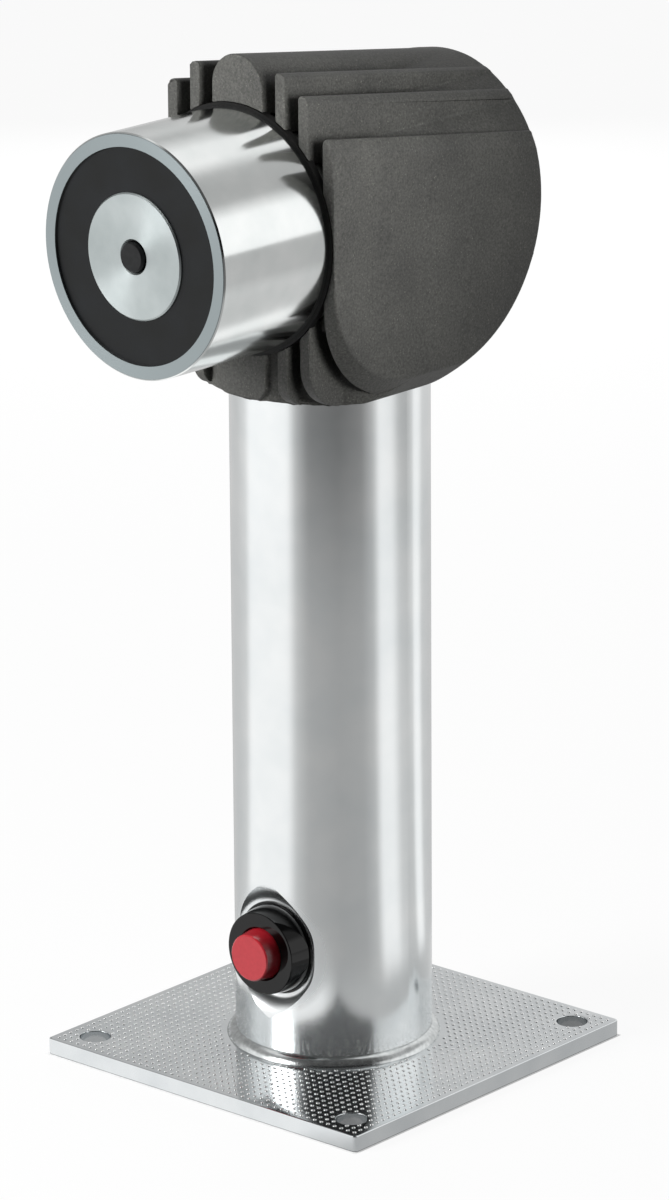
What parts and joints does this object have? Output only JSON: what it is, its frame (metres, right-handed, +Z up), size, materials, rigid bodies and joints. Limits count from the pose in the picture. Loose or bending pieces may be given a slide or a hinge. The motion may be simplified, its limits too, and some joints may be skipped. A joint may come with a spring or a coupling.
{
  "type": "electromagnetic door holder",
  "caption": "Floor-standing electromagnetic door holder: square plate, round post with red release button, finned swivel head and round holding magnet.",
  "frame": {"origin": "On the post axis, at the underside of the base plate, which is the centre of its four bolt holes.", "axes": "+Z is up along the post, -Y is the side that the release button faces, and the magnet faces it too, turned 2.2 degrees towards -X; +X is to the right seen from the front."},
  "size_m": [0.12, 0.143, 0.3062],
  "materials": {
    "bright_zinc_plate": "bright zinc plating over a rolled dot pattern",
    "polished_zinc_tube": "drawn tube, polished and bright zinc plated",
    "zinc_weld": "ground fillet weld, zinc plated",
    "black_rubber": "moulded, satin",
    "black_gloss_plastic": "injection moulded, glossy",
    "black_moulded_plastic": "glass-filled, fine matte texture",
    "red_plastic": "injection moulded, semi-gloss",
    "spring_steel": "drawn wire, bright",
    "contact_brass": "stamped or turned, bright",
    "plated_magnet_steel": "turned and bright plated",
    "ground_magnet_steel": "face-turned and zinc plated",
    "enamelled_copper": "varnished winding wire",
    "black_resin": "cast potting resin, satin",
    "natural_nylon": "injection moulded, satin",
    "grey_block_plastic": "injection moulded, satin",
    "zinc_fastener_steel": "rolled, zinc plated",
    "black_pin_steel": "turned, black oxide"
  },
  "bodies": {
    "post": {"base_plate": "bright_zinc_plate", "post_tube": "polished_zinc_tube", "weld_bead": "zinc_weld", "cable_grommet": "black_rubber", "button_housing": "black_gloss_plastic", "button_washer": "black_moulded_plastic", "button_nut": "black_moulded_plastic", "button_contacts": "contact_brass", "button_lid": "black_moulded_plastic", "button_spring": "spring_steel"},
    "head": {"head_housing": "black_moulded_plastic", "clamp_inserts": "contact_brass", "clamp_screws": "black_pin_steel", "magnet_pot": "plated_magnet_steel", "magnet_core": "ground_magnet_steel", "coil_bobbin": "natural_nylon", "coil_winding": "enamelled_copper", "potting_resin": "black_resin", "pot_seal": "black_rubber", "pot_stud": "zinc_fastener_steel", "pot_washer": "zinc_fastener_steel", "pot_nut": "zinc_fastener_steel", "lead_bush": "natural_nylon", "pin_spring": "spring_steel", "terminal_block": "grey_block_plastic", "terminal_cages": "contact_brass", "terminal_screws": "zinc_fastener_steel", "block_screws": "zinc_fastener_steel"},
    "button": {"button_cap": "red_plastic", "contact_bridge": "contact_brass"},
    "pin": {"release_pin": "black_pin_steel", "pin_clip": "spring_steel"}
  },
  "joints": [
    {"name": "head_swivel", "type": "hinge", "parent": "post", "child": "head", "pos_m": [0, 0, 0.213], "axis": [0, 0, 1], "range_deg": [-87.8, 92.2]},
    {"name": "button_press", "type": "slide", "parent": "post", "child": "button", "axis": [0, 1, 0], "range_m": [0, 0.003], "stiffness_N_per_m": 1500, "springref_m": -0.002, "deforming": ["button_spring"]},
    {"name": "pin_press", "type": "slide", "parent": "head", "child": "pin", "axis": [0.0384, 0.9993, 0], "range_m": [0, 0.001], "stiffness_N_per_m": 3000, "springref_m": -0.002, "deforming": ["pin_spring"]}
  ]
}
